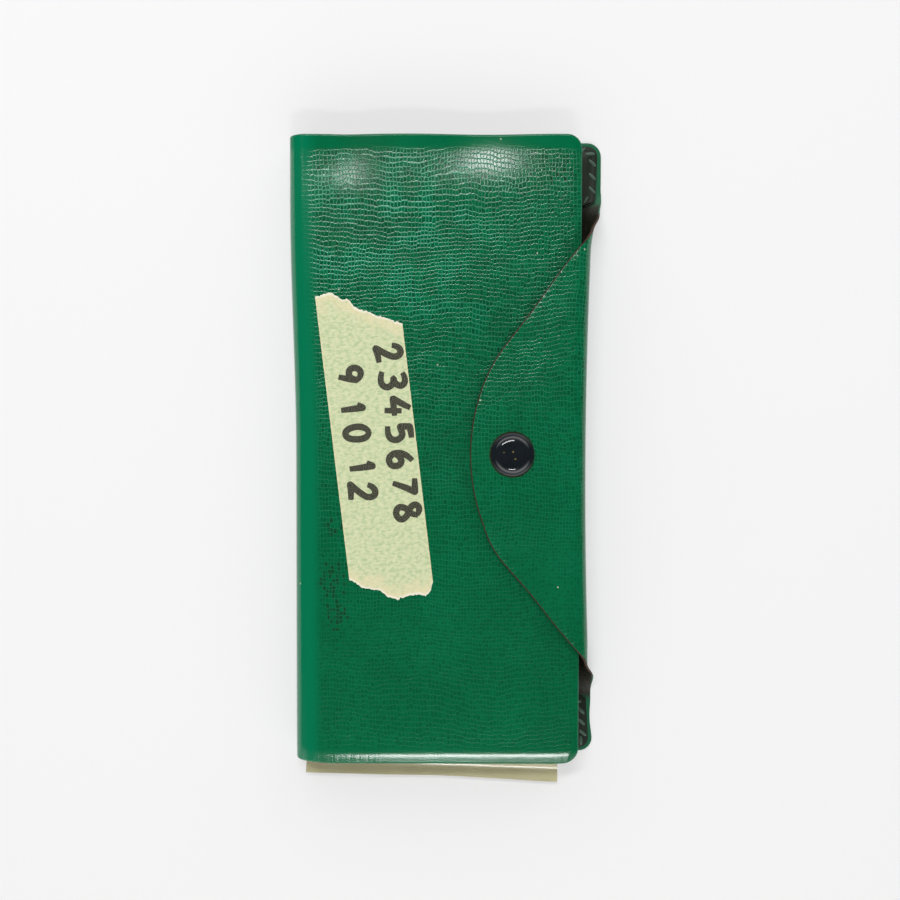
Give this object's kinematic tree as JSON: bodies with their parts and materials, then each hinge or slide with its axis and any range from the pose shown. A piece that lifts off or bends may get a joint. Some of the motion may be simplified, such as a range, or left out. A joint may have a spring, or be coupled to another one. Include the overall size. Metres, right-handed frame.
{
  "type": "crochet hook case",
  "caption": "Flat folding case of embossed vinyl that closes with a snap flap, with crochet hooks in a clear welded sleeve and a masking tape label on the front.",
  "frame": {"origin": "middle of the flat face that the back cover rests on", "axes": "+X from the rolled spine to the open edge, +Y up the length of the case, +Z out of the front cover"},
  "size_m": [0.098, 0.2065, 0.0172],
  "materials": {
    "embossed_vinyl": "deep green, embossed with a fine irregular crosshatch, soft gloss",
    "lining": "very dark green, smooth",
    "black_enamel": "glossy black enamel",
    "snap_metal": "nickel plate, slightly dull",
    "spring_wire": "drawn wire",
    "masking_tape": "yellowed crepe paper, matte",
    "yellowed_vinyl": "clear vinyl, yellowed and a little cloudy",
    "hook_metal": "satin"
  },
  "bodies": {
    "back": {"back_cover": "embossed_vinyl", "cover_spine": "embossed_vinyl", "back_liner": "lining", "back_pocket": "lining"},
    "front": {"front_cover": "embossed_vinyl", "front_liner": "lining", "snap_stud": "snap_metal", "stud_rivet": "snap_metal", "label_tape": "masking_tape"},
    "fold": {"flap_fold": "embossed_vinyl"},
    "flap": {"flap_tongue": "embossed_vinyl", "snap_cap": "black_enamel", "snap_post": "snap_metal", "snap_socket": "snap_metal", "snap_spring": "spring_wire"},
    "sleeve": {"sleeve_back_film": "yellowed_vinyl", "sleeve_front_film": "yellowed_vinyl"},
    "hook_1": {"hook_1": "hook_metal"},
    "hook_2": {"hook_2": "hook_metal"},
    "hook_3": {"hook_3": "hook_metal"},
    "hook_4": {"hook_4": "hook_metal"},
    "hook_5": {"hook_5": "hook_metal"},
    "hook_6": {"hook_6": "hook_metal"}
  },
  "joints": [
    {"name": "fold_hinge", "type": "hinge", "parent": "back", "child": "fold", "pos_m": [0.04529, 0, 0.00131], "axis": [0, 1, 0], "range_deg": [0, 90]},
    {"name": "flap_hinge", "type": "hinge", "parent": "fold", "child": "flap", "pos_m": [0.04529, 0, 0.01359], "axis": [0, 1, 0], "range_deg": [0, 83], "deforming": ["snap_spring"]},
    {"name": "front_hinge", "type": "hinge", "parent": "back", "child": "front", "pos_m": [-0.04742, 0, 0.00982], "axis": [0, -1, 0], "range_deg": [0, 15]},
    {"name": "sleeve_slide", "type": "slide", "parent": "back", "child": "sleeve", "axis": [-0.0349, -0.9994, 0], "range_m": [0, 0.19]},
    {"name": "hook_1_slide", "type": "slide", "parent": "sleeve", "child": "hook_1", "axis": [0.0349, 0.9994, 0], "range_m": [0, 0.1815]},
    {"name": "hook_2_slide", "type": "slide", "parent": "sleeve", "child": "hook_2", "axis": [0.0349, 0.9994, 0], "range_m": [0, 0.1815]},
    {"name": "hook_3_slide", "type": "slide", "parent": "sleeve", "child": "hook_3", "axis": [0.0349, 0.9994, 0], "range_m": [0, 0.1815]},
    {"name": "hook_4_slide", "type": "slide", "parent": "sleeve", "child": "hook_4", "axis": [0.0349, 0.9994, 0], "range_m": [0, 0.1815]},
    {"name": "hook_5_slide", "type": "slide", "parent": "sleeve", "child": "hook_5", "axis": [0.0349, 0.9994, 0], "range_m": [0, 0.1815]},
    {"name": "hook_6_slide", "type": "slide", "parent": "sleeve", "child": "hook_6", "axis": [0.0349, 0.9994, 0], "range_m": [0, 0.1815]}
  ],
  "couplings": [
    {"joint": "flap_hinge", "follows": "fold_hinge", "ratio": 0.92222},
    {"joint": "front_hinge", "follows": "fold_hinge", "ratio": 0.16667}
  ]
}
